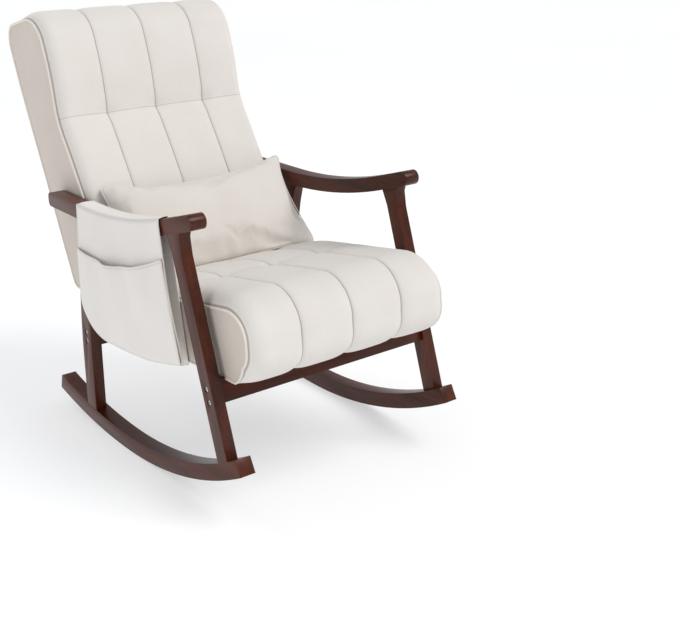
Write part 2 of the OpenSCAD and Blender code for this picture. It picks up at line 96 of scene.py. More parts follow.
class Mat:
    """A material's node tree, with short calls to add and link nodes."""

    def __init__(self, name):
        self.mat = bpy.data.materials.new(name)
        self.mat.use_nodes = True
        self.tree = self.mat.node_tree
        self.shader = self.tree.nodes["Principled BSDF"]

    def node(self, kind, **values):
        """Adds a node, with its properties and sockets set by name."""
        n = self.tree.nodes.new(kind)
        for key, value in values.items():
            if hasattr(n, key) and key not in n.inputs:
                setattr(n, key, value)
            else:
                n.inputs[key].default_value = value
        return n

    def feed(self, socket, value):
        """Sets a socket to a constant, or links another node's output to it."""
        if isinstance(value, (int, float, tuple)):
            socket.default_value = value
        else:
            self.tree.links.new(value, socket)

    def scaled(self, vector, scale):
        n = self.node("ShaderNodeMapping", Scale=scale)
        self.feed(n.inputs["Vector"], vector)
        return n.outputs["Vector"]

    def coords(self, scale):
        """Object coordinates in metres, scaled."""
        return self.scaled(self.node("ShaderNodeTexCoord").outputs["Object"], scale)

    def noise(self, vector, scale, detail=3, rough=0.5):
        n = self.node("ShaderNodeTexNoise", Scale=scale, Detail=detail, Roughness=rough)
        self.feed(n.inputs["Vector"], vector)
        return n.outputs["Fac"]

    def ramp(self, fac, low, high):
        """Blends between two stops, each a place and a colour."""
        n = self.node("ShaderNodeValToRGB")
        for stop, (at, colour) in zip(n.color_ramp.elements, (low, high)):
            stop.position = at
            stop.color = colour
        self.feed(n.inputs["Fac"], fac)
        return n.outputs["Color"]

    def maths(self, op, a, b=0):
        n = self.node("ShaderNodeMath", operation=op)
        self.feed(n.inputs[0], a)
        self.feed(n.inputs[1], b)
        return n.outputs[0]

    def mix(self, fac, a, b, blend="MIX"):
        n = self.node("ShaderNodeMix", data_type="RGBA", blend_type=blend)
        self.feed(n.inputs[MIX_FACTOR], fac)
        self.feed(n.inputs[MIX_A], a)
        self.feed(n.inputs[MIX_B], b)
        return n.outputs[MIX_RESULT]

    def surface(self, colour, **values):
        """Feeds the shader's colour, and its other sockets by name."""
        self.feed(self.shader.inputs["Base Color"], colour)
        for key, value in values.items():
            self.feed(self.shader.inputs[key.replace("_", " ")], value)

    def bump(self, height, strength, distance):
        n = self.node("ShaderNodeBump", Strength=strength, Distance=distance)
        self.feed(n.inputs["Height"], height)
        self.feed(self.shader.inputs["Normal"], n.outputs["Normal"])


# ---------------------------------------------------------------- materials

FIGURE_ACROSS, FIGURE_ALONG = 26, 1.3
PORES_ACROSS, PORES_ALONG = 420, 12
PORE_SHADE = (0.55, 0.5, 0.5, 1)


def grain(across, along, axis):
    """Texture scale that is stretched along the grain's axis."""
    return [along if a == axis else across for a in "XYZ"]


def wood(name, axis, dark, light, rough=0.32, coat=0.10):
    """Stained wood with its grain along one axis: pores, soft figure and a lacquer coat."""
    m = Mat(name)
    figure = m.noise(m.coords(grain(FIGURE_ACROSS, FIGURE_ALONG, axis)), 1, detail=6, rough=0.62)
    pores = m.noise(m.coords(grain(PORES_ACROSS, PORES_ALONG, axis)), 1, detail=2)
    tone = m.ramp(figure, (0.30, dark), (0.72, light))
    streaks = m.ramp(pores, (0.40, PORE_SHADE), (0.52, WHITE))
    shine = m.ramp(figure, (0.2, grey(rough - 0.04)), (0.8, grey(rough + 0.08)))
    m.surface(m.mix(0.55, tone, streaks, "MULTIPLY"), Roughness=shine, Coat_Weight=coat,
              Coat_Roughness=0.15, Specular_IOR_Level=0.22)
    m.bump(pores, strength=0.18, distance=0.0004)
    return m.mat


# painted shade: the cloth is darkened along its seams and rows of tufts, where shade falls in the grooves;
# the stitches are the thread's own colour
PAINTED_SHADE_REACH, PAINTED_SHADE_DEPTH = 0.004, 0.8
SEAM_PAINTED_SHADE, TUFT_ROW_PAINTED_SHADE = (0.50, 0.47, 0.44, 1), (0.70, 0.68, 0.66, 1)
STITCH_RUN, STITCH_OUT, STITCH_HALF = 0.0042, 0.0065, 0.00045
STITCH_SHADE, STITCH_DEPTH = (0.45, 0.42, 0.38, 1), 0.22


def stitches_and_painted_seam_shade(m, u, v, colour, seams, rows):
    """Paints shade into the seams, which lie at places across the cloth, adds stitches beside them, and
    paints shade along the rows.
    """
    def from_line(place, line):
        return m.maths("ABSOLUTE", m.maths("SUBTRACT", place, line))

    # paints shade as a dark line that fades out to either side
    def darken(base, gap, core, rim, shade):
        line = m.ramp(m.maths("DIVIDE", gap, PAINTED_SHADE_REACH), (core, shade), (rim, WHITE))
        return m.mix(PAINTED_SHADE_DEPTH, base, line, "MULTIPLY")

    wave = m.maths("SINE", m.maths("MULTIPLY", v, 2 * math.pi / STITCH_RUN))
    dash = m.maths("GREATER_THAN", wave, -0.3)
    for seam in seams:
        gap = from_line(u, seam)
        beside = m.maths("LESS_THAN", from_line(gap, STITCH_OUT), STITCH_HALF)
        stitch = m.maths("MULTIPLY", m.maths("MULTIPLY", beside, dash), STITCH_DEPTH)
        colour = m.mix(stitch, darken(colour, gap, 0.16, 0.42, SEAM_PAINTED_SHADE), STITCH_SHADE)
    for row in rows:
        colour = darken(colour, from_line(v, row), 0.10, 0.45, TUFT_ROW_PAINTED_SHADE)
    return colour


SLUB_LONG, SLUB_SHORT = 60, 900
# painted shade in the gaps between the threads
THREAD_GAP_PAINTED_SHADE = (0.86, 0.85, 0.84, 1)


def cloth(name, light, shade, pitch=1.5 * MM, fuzz=0.25, seams=(), rows=()):
    """Plain woven cloth on a metric UV map: two sets of threads with painted shade in the gaps between
    them, slubs, a little fuzz, and painted shade at any seams and rows given.
    """
    m = Mat(name)
    uv = m.node("ShaderNodeUVMap", uv_map="cloth").outputs["UV"]
    split = m.node("ShaderNodeSeparateXYZ")
    m.feed(split.inputs[0], uv)
    u, v = split.outputs[0], split.outputs[1]
    wander = m.maths("MULTIPLY", m.noise(uv, 260, detail=2), 2.0)
    lines = []
    for place in (u, v):
        phase = m.maths("ADD", m.maths("MULTIPLY", place, 2 * math.pi / pitch), wander)
        lines.append(m.maths("SINE", phase))
    weave = m.maths("MULTIPLY", *lines)
    threads = m.maths("MAXIMUM", m.maths("ABSOLUTE", lines[0]), m.maths("ABSOLUTE", lines[1]))
    slubs = m.maths("ADD", m.noise(m.scaled(uv, (SLUB_SHORT, SLUB_LONG, 1)), 1, detail=2),
                    m.noise(m.scaled(uv, (SLUB_LONG, SLUB_SHORT, 1)), 1, detail=2))
    broad = m.noise(uv, 9)
    tone = m.maths("ADD", m.maths("MULTIPLY", slubs, 0.25), m.maths("MULTIPLY", broad, 0.35))
    colour = m.ramp(tone, (0.30, shade), (0.78, light))
    # painted shade: the gaps between the threads are darkened
    gaps = m.ramp(threads, (0.45, THREAD_GAP_PAINTED_SHADE), (0.85, WHITE))
    woven = m.mix(0.5, colour, gaps, "MULTIPLY")
    m.surface(stitches_and_painted_seam_shade(m, u, v, woven, seams, rows), Roughness=0.92, Sheen_Weight=fuzz,
              Sheen_Roughness=0.5, Specular_IOR_Level=0.2)
    height = m.maths("ADD", m.maths("MULTIPLY", weave, 0.5), threads)
    height = m.maths("ADD", height, m.maths("MULTIPLY", slubs, 0.8))
    m.bump(height, strength=0.35, distance=0.0003)
    return m.mat


def metal(name, colour, rough):
    """Bare or plated steel with a fine, uneven surface."""
    m = Mat(name)
    fine = m.noise(m.coords((900, 900, 900)), 1)
    darker = tuple(c * 0.8 for c in colour[:3]) + (1,)
    m.surface(m.ramp(fine, (0.3, darker), (0.7, colour)), Metallic=1, Roughness=rough)
    m.bump(fine, strength=0.1, distance=0.0002)
    return m.mat


def porous(name, light, dark):
    """Foam or fibre filling with open cells."""
    m = Mat(name)
    cells = m.noise(m.coords((500, 500, 500)), 1, detail=4, rough=0.7)
    m.surface(m.ramp(cells, (0.3, dark), (0.7, light)), Roughness=1.0)
    m.bump(cells, strength=0.5, distance=0.001)
    return m.mat


STAIN_DARK, STAIN_LIGHT = srgb(50, 19, 8), srgb(92, 41, 21)
WOOD = {axis: wood("stained_wood_" + axis, axis, STAIN_DARK, STAIN_LIGHT) for axis in "XYZ"}
PLY = wood("plywood", "X", srgb(176, 140, 98), srgb(214, 184, 142), rough=0.6, coat=0)
BEECH = wood("dowel_beech", "Z", srgb(190, 150, 105), srgb(222, 188, 146), rough=0.55, coat=0)
ZINC = metal("zinc_steel", (0.78, 0.79, 0.80, 1), 0.28)
SPRING = metal("spring_steel", (0.30, 0.31, 0.33, 1), 0.35)
FOAM = porous("foam", srgb(240, 232, 200), srgb(214, 202, 166))
CREAM, CREAM_SHADE = srgb(236, 232, 228), srgb(225, 220, 214)
# a darker copy of the cream cloth for the cushions' sides: painted shade, as the sides are the same cloth
SIDE_CLOTH_PAINTED_SHADE = cloth("side_cloth_painted_shade", srgb(224, 215, 206), srgb(210, 200, 190))
PILLOW_CLOTH = cloth("pillow_cloth", srgb(236, 232, 226), srgb(225, 219, 212), 1.3 * MM)
BAG_CLOTH = cloth("bag_cloth", srgb(243, 240, 238), srgb(232, 228, 224), 1.2 * MM)
# lighter than the cream cloth: a painted highlight on the round cords of the piping, the bindings and the
# pillow's seam
WELT_CLOTH_PAINTED_HIGHLIGHT = cloth("piping_cloth_painted_highlight", srgb(246, 241, 234), srgb(233, 226, 217), 1.0 * MM)
BLACK_CLOTH = cloth("black_cloth", srgb(44, 43, 44), srgb(26, 26, 28), 1.8 * MM, fuzz=0.1)


def paint(obj, material):
    """Puts one material on every slot of obj."""
    if not obj.material_slots:
        obj.data.materials.append(material)
    for slot in obj.material_slots:
        slot.material = material


# ---------------------------------------------------------------- carried-over nodes

CREASE_ANGLE, BEVEL_ANGLE, FLAT_ANGLE = math.radians(32), math.radians(40), math.radians(0.3)
WELD_GAP = 1e-5


def smooth_group():
    """A node group that shades smooth apart from the edges sharper than the crease angle."""
    g = bpy.data.node_groups.new("smooth_by_edge", "GeometryNodeTree")
    g.interface.new_socket("Geometry", in_out="INPUT", socket_type="NodeSocketGeometry")
    g.interface.new_socket("Geometry", in_out="OUTPUT", socket_type="NodeSocketGeometry")
    start, end = g.nodes.new("NodeGroupInput"), g.nodes.new("NodeGroupOutput")
    faces, edges = (g.nodes.new("GeometryNodeSetShadeSmooth") for _ in range(2))
    faces.domain, edges.domain = "FACE", "EDGE"
    angle = g.nodes.new("GeometryNodeInputMeshEdgeAngle")
    sharper = g.nodes.new("FunctionNodeCompare")
    sharper.operation = "GREATER_THAN"
    sharper.inputs[1].default_value = CREASE_ANGLE
    g.links.new(start.outputs[0], faces.inputs[0])
    g.links.new(faces.outputs[0], edges.inputs[0])
    g.links.new(angle.outputs["Unsigned Angle"], sharper.inputs[0])
    g.links.new(sharper.outputs[0], edges.inputs["Selection"])
    edges.inputs["Shade Smooth"].default_value = False
    g.links.new(edges.outputs[0], end.inputs[0])
    return g


SMOOTH = smooth_group()


def finish_node(name, material, edge=0.0):
    """Paints a CAD node, welds it, rounds its edges by the given width and shades it smooth."""
    obj = NODES[name]
    paint(obj, material)
    weld = obj.modifiers.new("weld", "WELD")
    weld.merge_threshold = WELD_GAP
    if edge:
        flat = obj.modifiers.new("flatten", "DECIMATE")
        flat.decimate_type = "DISSOLVE"
        flat.angle_limit = FLAT_ANGLE
        bevel = obj.modifiers.new("round", "BEVEL")
        bevel.width = edge
        bevel.segments = 3
        bevel.limit_method = "ANGLE"
        bevel.angle_limit = BEVEL_ANGLE
        bevel.use_clamp_overlap = True
    shade = obj.modifiers.new("shade", "NODES")
    shade.node_group = SMOOTH


for side in ("left_", "right_"):
    finish_node(side + "runner", WOOD["Y"], 2.5 * MM)
    finish_node(side + "front_leg", WOOD["Z"], 3.5 * MM)
    finish_node(side + "rear_leg", WOOD["Z"], 3.5 * MM)
    finish_node(side + "armrest", WOOD["Y"], 4 * MM)
for name in ("front_rail", "rear_rail"):
    finish_node(name, WOOD["X"], 2 * MM)
for name in ("rail_bolts", "rail_barrel_nuts", "seat_screws", "back_bolts", "arm_bolts", "arm_inserts"):
    finish_node(name, ZINC)
for name in ("seat_springs", "seat_spring_clips"):
    finish_node(name, SPRING)
for name in ("seat_frame", "back_frame"):
    finish_node(name, PLY)
finish_node("leg_dowels", BEECH)
finish_node("back_webbing", BLACK_CLOTH)
finish_node("pillow_filling", FOAM)
finish_node("pillow_zip", PILLOW_CLOTH)

# ---------------------------------------------------------------- mesh helpers

TUBE_SIDES = 8


def clamp(value):
    return min(1.0, max(0.0, value))


def bell(d, width):
    """1 at distance 0, falling smoothly to 0 well past the width."""
    return math.exp(-(d / width) ** 2)


def uneven(a, b, seed, size):
    """Smooth unevenness up to about size, with one wave or so per unit of a and b."""
    return size * noise.noise(Vector((a, b, seed)))


def unit(v):
    return v / np.linalg.norm(v)


def build(name, verts, faces, uvs, material):
    """A smooth mesh object from points, faces and one UV per face corner."""
    mesh = bpy.data.meshes.new(name)
    mesh.from_pydata([tuple(v) for v in verts], [], faces)
    layer = mesh.uv_layers.new(name="cloth")
    flat = [c for f in uvs for c in f]
    layer.data.foreach_set("uv", np.array(flat, np.float32).ravel())
    mesh.polygons.foreach_set("use_smooth", [True] * len(mesh.polygons))
    mesh.materials.append(material)
    obj = bpy.data.objects.new(name, mesh)
    SCENE.collection.objects.link(obj)
    return obj


def move_points(obj, points):
    """Moves the vertices of obj to new places."""
    obj.data.vertices.foreach_set("co", np.array(points, np.float32).ravel())
    obj.data.update()


def rounded(corners, step):
    """Closed outline through corners (a, b, radius): points, outward normals and lengths along it."""
    count = len(corners)
    arcs = []
    for i in range(count):
        before, corner, after = (np.array(corners[(i + k) % count][:2], float) for k in (-1, 0, 1))
        r = corners[i][2]
        d0, d1 = unit(before - corner), unit(after - corner)
        half = math.acos(np.clip(d0 @ d1, -1, 1)) / 2
        reach = r / math.tan(half)
        centre = corner + unit(d0 + d1) * r / math.sin(half)
        arcs.append((corner + d0 * reach, corner + d1 * reach, centre, r))
    pts, nors = [], []
    for i in range(count):
        start, end, centre, r = arcs[i]
        t0 = math.atan2(*(start - centre)[::-1])
        t1 = math.atan2(*(end - centre)[::-1])
        turn = (t1 - t0 + math.pi) % (2 * math.pi) - math.pi
        parts = max(3, int(abs(turn) * r / step))
        for j in range(parts):
            t = t0 + turn * j / parts
            nors.append((math.cos(t), math.sin(t)))
            pts.append(centre + r * np.array(nors[-1]))
        run = arcs[(i + 1) % count][0] - end
        parts = max(1, int(np.linalg.norm(run) / step))
        for j in range(parts):
            pts.append(end + run * j / parts)
            nors.append((math.cos(t1), math.sin(t1)))
    pts = np.array(pts)
    gaps = np.linalg.norm(np.roll(pts, -1, 0) - pts, axis=1)
    return pts, np.array(nors), np.concatenate([[0], np.cumsum(gaps)])


def run_at(outline, axis, value):
    """Length along an outline where its coordinate first rises past a value."""
    pts, _, along = outline
    for i in range(len(pts) - 1):
        low, high = pts[i][axis], pts[i + 1][axis]
        if low <= value < high:
            return along[i] + (value - low) / (high - low) * (along[i + 1] - along[i])


def placer(at, lean):
    """Maps (x, a, b) in a slanted part's own frame to the row frame."""
    c, s = math.cos(math.radians(lean)), math.sin(math.radians(lean))

    def place(x, a, b):
        return (x, at[0] + a * c + b * s, at[1] - a * s + b * c)
    return place


def tube(name, path, radius, material, closed=True):
    """A cord of piping along a path, as a mesh with metric UVs."""
    pts = [Vector(p) for p in path]
    count, sides = len(pts), TUBE_SIDES
    verts, faces, uvs = [], [], []
    runs = [0.0]
    for i, p in enumerate(pts):
        before = pts[(i - 1) % count] if closed or i else p
        after = pts[(i + 1) % count] if closed or i < count - 1 else p
        way = (after - before).normalized()
        side = Vector((1, 0, 0)) - way * way.x
        if side.length < 0.2:
            # the path runs nearly along X here
            side = Vector((0, 0, 1)) - way * way.z
        side.normalize()
        up = way.cross(side)
        for k in range(sides):
            w = 2 * math.pi * k / sides
            verts.append(p + radius * (math.cos(w) * side + math.sin(w) * up))
        runs.append(runs[-1] + (pts[(i + 1) % count] - p).length)
    width = 2 * math.pi * radius / sides
    for i in range(count if closed else count - 1):
        j = (i + 1) % count
        u0, u1 = runs[i], runs[i + 1]
        for k in range(sides):
            m = (k + 1) % sides
            faces.append((i * sides + k, j * sides + k, j * sides + m, i * sides + m))
            v0, v1 = k * width, (k + 1) * width
            uvs.append([(u0, v0), (u1, v0), (u1, v1), (u0, v1)])
    if not closed:
        last = (count - 1) * sides
        faces.append(tuple(reversed(range(sides))))
        faces.append(tuple(range(last, last + sides)))
        uvs += [[(0, 0)] * sides] * 2
    return build(name, verts, faces, uvs, material)


def sheet_mesh(name, verts, us, vs, material, flip=False):
    """A sheet of quads over rows of points, with the rows' and columns' places on its metric UV map."""
    cols = len(us) - 1
    faces, uvs = [], []
    for j in range(len(vs) - 1):
        for i in range(cols):
            a = j * (cols + 1) + i
            face = [a, a + 1, a + cols + 2, a + cols + 1]
            uv = [(us[i], vs[j]), (us[i + 1], vs[j]), (us[i + 1], vs[j + 1]), (us[i], vs[j + 1])]
            if flip:
                face[1], face[3] = face[3], face[1]
                uv[1], uv[3] = uv[3], uv[1]
            faces.append(face)
            uvs.append(uv)
    return build(name, verts, faces, uvs, material)


def spread(length, parts):
    """Even places from 0 to length."""
    return [i / parts * length for i in range(parts + 1)]


def sheet_rim(obj, cols, rows, closed=True):
    """Points down a sheet's first column, along its last row, up its last column, and back if closed."""
    wide = cols + 1
    rim = [j * wide for j in range(rows)]
    rim += [(rows - 1) * wide + i for i in range(1, wide)]
    rim += [j * wide + cols for j in range(rows - 2, -1, -1)]
    if closed:
        rim += range(cols - 1, 0, -1)
    return [tuple(obj.data.vertices[i].co) for i in rim]


def hem(obj, thick):
    """Gives a sheet its thickness, half of it on each side."""
    m = obj.modifiers.new("thickness", "SOLIDIFY")
    m.thickness = thick
    m.offset = 0


def area_of(obj):
    return sum(p.area for p in obj.data.polygons)


# ---------------------------------------------------------------- cushions

# Each cushion is drawn in its own frame. The back's u runs from its front to its rear and v up it;
# the seat's s runs from its front to its rear and t up.
BACK_AT, BACK_LEAN = (0.148, 0.397), 22
SEAT_AT, SEAT_TILT = (-0.496, 0.326), 4
BACK_TUFT_V, SEAT_TUFT_S = 0.422, 0.290
HALF = 0.2768
SEAMS = (-0.143, 0.001, 0.146)
# the seams, and two lines just inside the edges that get a painted shadow beside the piping, with stitches
SEAMS_AND_PAINTED_EDGE_SHADOWS = SEAMS + (-HALF + 0.0024, HALF - 0.0024)
STATION_STEP, STATION_GAP = 0.0065, 0.0008
NEAR_SEAM = (0, 0.0012, 0.0025, 0.005, 0.008)
SEAM_DROP, SEAM_POWER, EDGE_POWER = 0.0042, 4.5, 6
CREASE_DROP, CREASE_W = 0.0024, 0.0022
PUCKER_REACH = 0.018
TUFT_DROP = 0.0065
EDGE_DROP, EDGE_W = 0.003, 0.006
WAIST_V, WAIST_REACH, WAIST_DROP = 0.420, 0.088, 0.022
BELLY_V, BELLY_REACH, BELLY_RISE = 0.190, 0.080, 0.015
BACK_FRONT_EDGE, BACK_REAR_EDGE = 0.027, 0.008
SEAT_EDGE, SEAT_ROUND_FROM = 0.026, 0.2127
PUFF, PUFF_UNEVEN = 0.0022, 0.0016
END_RINGS = (0.985, 0.96, 0.92, 0.86, 0.78, 0.68, 0.57, 0.45, 0.33, 0.2, 0.08)
WELT_R, WELT_OUT, WELT_PROUD = 0.0031, 0.0004, 0.0020
SIDES = (("left", 1), ("right", -1))

back_place = placer(BACK_AT, BACK_LEAN)
seat_place = placer(SEAT_AT, SEAT_TILT)
back_outline = rounded([(-0.0115, -0.009, 0.032), (-0.0115, 0.7065, 0.091), (0.2035, 0.7095, 0.055),
                        (0.2035, 0.560, 0.6), (0.176, 0, 0.03)], 0.006)
seat_outline = rounded([(-0.0140, -0.003, 0.080), (-0.0140, 0.2030, 0.096), (0.400, 0.1635, 0.5),
                        (0.620, 0.1155, 0.10), (0.7570, 0.0710, 0.01), (0.7570, -0.001, 0.01)], 0.006)


def stations():
    """Places across a cushion: even, and close together beside each seam and each edge."""
    xs = set(np.round(np.arange(-HALF, HALF + STATION_STEP / 2, STATION_STEP), 6))
    for s in SEAMS + (-HALF, HALF):
        for d in NEAR_SEAM:
            for x in (s - d, s + d):
                if -HALF <= x <= HALF:
                    xs = {o for o in xs if abs(o - x) > STATION_GAP} | {round(x, 6)}
    return sorted(xs)


def section(outline, drop, x, proud=0.0):
    """A cushion's outline at x, pushed in by drop(x, a, b, normal) and out again by proud."""
    pushed = []
    for (a, b), (na, nb) in zip(*outline[:2]):
        d = drop(x, a, b, (na, nb)) - proud
        pushed.append((a - na * d, b - nb * d))
    return pushed


def close_end(verts, faces, uvs, place, ring, rim, x):
    """Closes a cushion's end at x with shrinking rings, puffed outwards and a little uneven."""
    sign = math.copysign(1, x)
    count = len(ring)
    mid = np.mean(rim, axis=0)

    def add_face(corners, places):
        faces.append(corners if sign < 0 else corners[::-1])
        uvs.append(places if sign < 0 else places[::-1])

    flat = rim
    for f in END_RINGS:
        out = PUFF * (1 - f ** 3) ** 0.5
        inner = [(mid[0] + (a - mid[0]) * f, mid[1] + (b - mid[1]) * f) for a, b in rim]
        new = range(len(verts), len(verts) + count)
        for a, b in inner:
            w = uneven(a * 9, b * 9, sign * 3.0, PUFF_UNEVEN)
            verts.append(place(x + sign * (out + w * (1 - f)), a, b))
        for i in range(count):
            k = (i + 1) % count
            add_face((ring[i], ring[k], new[k], new[i]), (flat[i], flat[k], inner[k], inner[i]))
        ring, flat = new, inner
    tip = len(verts)
    verts.append(place(x + sign * PUFF, *mid))
    for i in range(count):
        k = (i + 1) % count
        add_face((ring[i], ring[k], tip), (flat[i], flat[k], tuple(mid)))


def cushion(name, outline, place, drop, material):
    """A closed cushion: one outline carried across X, pushed in by drop, with puffed ends."""
    along = outline[2]
    count = len(outline[0])
    xs = stations()
    verts, faces, uvs = [], [], []
    for x in xs:
        verts += [place(x, a, b) for a, b in section(outline, drop, x)]
    for j in range(len(xs) - 1):
        for i in range(count):
            k = (i + 1) % count
            faces.append((j * count + i, (j + 1) * count + i, (j + 1) * count + k, j * count + k))
            u0, u1, v0, v1 = xs[j], xs[j + 1], along[i], along[i + 1]
            uvs.append([(u0, v0), (u1, v0), (u1, v1), (u0, v1)])
    body_faces = len(faces)
    for first, x in ((0, -HALF), ((len(xs) - 1) * count, HALF)):
        ring = range(first, first + count)
        close_end(verts, faces, uvs, place, ring, section(outline, drop, x), x)
    obj = build(name, verts, faces, uvs, material)
    # the ends take the side cloth, darker than the cream: painted shade on the cushion's sides
    obj.data.materials.append(SIDE_CLOTH_PAINTED_SHADE)
    for poly in obj.data.polygons[body_faces:]:
        poly.material_index = 1
    bm = bmesh.new()
    bm.from_mesh(obj.data)
    bmesh.ops.recalc_face_normals(bm, faces=bm.faces)
    bm.to_mesh(obj.data)
    bm.free()
    return obj


def welt(name, outline, place, drop, sign):
    """Piping round one side of a cushion."""
    x = sign * (HALF + WELT_OUT)
    path = [place(x, a, b) for a, b in section(outline, drop, sign * HALF, WELT_PROUD)]
    return tube(name, path, WELT_R, WELT_CLOTH_PAINTED_HIGHLIGHT)


def channels(x, seam_drop, edge_drop):
    """Depth below the crown at x: nothing along the middle of a channel, most at seams and edges."""
    marks = (-HALF,) + SEAMS + (HALF,)
    last = len(marks) - 2
    i = next(k for k in range(last + 1) if x <= marks[k + 1] or k == last)
    t = (x - marks[i]) / (marks[i + 1] - marks[i])
    at_edge = i == 0 if t < 0.5 else i == last
    drop = edge_drop if at_edge else seam_drop
    return drop * abs(2 * t - 1) ** (EDGE_POWER if drop > seam_drop else SEAM_POWER)


def crease(x):
    """Narrow groove along each seam."""
    return CREASE_DROP * max(bell(x - s, CREASE_W) for s in SEAMS)


def pucker(x, run, size):
    """Small folds that run into the seams."""
    near = max(bell(x - s, PUCKER_REACH) for s in SEAMS)
    return uneven(x * 14, run * 62, 2.0, size * near)


def tuft(x, along, reach):
    """Dimple where a seam meets the row of tufts, at a distance along from the row."""
    return TUFT_DROP * max(bell(math.hypot(x - s, along), reach) for s in SEAMS)


def edge_rounding(x):
    """Drop over the last few millimetres before the piping."""
    return EDGE_DROP * max(0.0, 1 - (HALF - abs(x)) / EDGE_W) ** 2


def back_drop(x, u, v, nor):
    """Depth of the back cushion below its outline: channels, waist, tufts and the flatter rear."""
    facing = clamp(0.9 - 1.8 * nor[0])
    behind = clamp(u / 0.14)
    edge_drop = BACK_FRONT_EDGE + (BACK_REAR_EDGE - BACK_FRONT_EDGE) * behind
    d = facing * clamp(v / 0.05) * channels(x, SEAM_DROP, edge_drop)
    d += facing * crease(x) + edge_rounding(x)
    waist = WAIST_DROP * bell(v - WAIST_V, WAIST_REACH)
    belly = BELLY_RISE * bell(v - BELLY_V, BELLY_REACH)
    d += max(0.0, -nor[0]) ** 2 * (waist - belly)
    if nor[0] < -0.5:
        row = v - BACK_TUFT_V
        middle = 1 - bell(abs(x) - HALF, 0.03)
        d += (bell(row, 0.022) * 0.0022 + bell(row, 0.006) * 0.0018) * middle
        d += tuft(x, row, 0.020) + pucker(x, v, 0.0008)
        d += uneven(x * 7, v * 7, 5.0, 0.0014)
    if nor[0] > 0.6:
        d += 0.0014 * bell(v - 0.06, 0.003) + uneven(x * 5, v * 5, 8.0, 0.0010)
        d -= 0.004 * (1 - (x / HALF) ** 2) * bell(v - 0.35, 0.2)
    return d


def seat_drop(x, s, t, nor):
    """Depth of the seat cushion below its outline: channels, round edges, tufts and the underside."""
    upper = clamp(nor[1] * 1.6 + (1.0 if nor[0] < 0 else 0.0))
    fade = clamp((0.62 - s) / 0.14)
    seam_drop = SEAM_DROP + 0.0032 * max(0.0, -nor[0])
    d = upper * fade * channels(x, seam_drop, seam_drop + 0.0001)
    edge_drop = SEAT_EDGE + 0.007 * max(0.0, nor[1]) ** 3 + 0.005 * max(0.0, -nor[1])
    if x >= 0:
        edge_drop -= 0.013 * max(0.0, 1 - nor[1] * 1.2)
    if nor[0] < 0.5:
        round_edge = clamp((0.65 - s) / 0.22) * min(1.0, max(0.0, nor[1] + 1.0) * 4) ** 0.5
        outer = max(0.0, (abs(x) - SEAT_ROUND_FROM) / (HALF - SEAT_ROUND_FROM)) ** 4
        d += round_edge * (edge_drop - upper * fade * seam_drop) * outer
    if s < 0.6:
        d += upper * crease(x)
    if nor[1] < 0 and s < 0.2:
        under = min(1.0, -nor[1] * 1.4) * max(0.0, 1 - max(0.0, s - 0.075) / 0.09)
        d += under * (channels(x, 0.008, 0.003) - 0.0055)
    if nor[1] > 0.5:
        row = s - SEAT_TUFT_S
        middle = 1 - bell(abs(x) - HALF, 0.04)
        d += fade * (tuft(x, row, 0.024) + 0.0022 * bell(row, 0.022) * middle)
        d += fade * (pucker(x, s, 0.0009) + uneven(x * 6, s * 6, 9.0, 0.0018))
    if nor[0] < -0.3:
        d += uneven(x * 9, t * 9, 4.0, 0.0012)
    return d + edge_rounding(x)


back_row = run_at(back_outline, 1, BACK_TUFT_V)
back_cloth = cloth("back_cloth", CREAM, CREAM_SHADE, seams=SEAMS_AND_PAINTED_EDGE_SHADOWS, rows=[back_row])
back = cushion("back_cushion", back_outline, back_place, back_drop, back_cloth)
seat_row = run_at(seat_outline, 0, SEAT_TUFT_S)
seat_cloth = cloth("seat_cloth", CREAM, CREAM_SHADE, seams=SEAMS_AND_PAINTED_EDGE_SHADOWS, rows=[seat_row])
seat = cushion("seat_cushion", seat_outline, seat_place, seat_drop, seat_cloth)
back_welts = [welt("back_piping_" + w, back_outline, back_place, back_drop, s) for w, s in SIDES]
seat_welts = [welt("seat_piping_" + w, seat_outline, seat_place, seat_drop, s) for w, s in SIDES]

for piece in [back, seat] + back_welts + seat_welts:
    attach(piece, "frame")
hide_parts("back_cover", "back_foam", "back_rear_panel")
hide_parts("seat_cover", "seat_foam")
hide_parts("back_piping")
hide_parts("seat_piping")

# ---------------------------------------------------------------- lumbar pillow

PILLOW_AT, PILLOW_TURN, PILLOW_LEAN, PILLOW_ROLL = (0.009, 0.097, 0.533), -3.5, 44.5, -1.5
PILLOW_W, PILLOW_H, PILLOW_T = 0.556, 0.290, 0.104
PILLOW_CELLS = (84, 46)
PILLOW_SEAM_R = 0.0013
TOP_SAG, BOTTOM_BULGE = 0.16, -0.09
PRESSURE, PUFF_FRAMES, PUFF_CAP = 5.0, 22, 0.02
DENT_X, DENT_Z, DENT_RUN, DENT_RISE, DENT_LENGTH = 0.150, -0.14, 0.12, 0.14, 0.184
DENT_DEPTH = 0.036


def pillow_point(a, b, side):
    """Point of a flat pillow's panel: a across and b up, both from -1 to 1; side is 0 on the rim."""
    thick = side * ((1 - abs(a) ** 2.6) * (1 - abs(b) ** 2.2)) ** 0.5 * PILLOW_T * 0.44 if side else 0
    waist = 1 - 0.022 * (1 - b * b) - 0.012 * abs(a * b) ** 12
    sag = 1 - (TOP_SAG if b > 0 else BOTTOM_BULGE) * (1 - a * a) * abs(b) ** 0.5
    blunt = 1 - 0.035 * abs(a * b) ** 14
    ear = max(0.0, a) ** 4 * b * b
    x = a * PILLOW_W / 2 * waist * blunt + (0.018 if b > 0 else 0.006) * ear
    z = b * PILLOW_H / 2 * sag * blunt - (0.007 * ear if b < 0 else 0)
    return (x, thick, z)


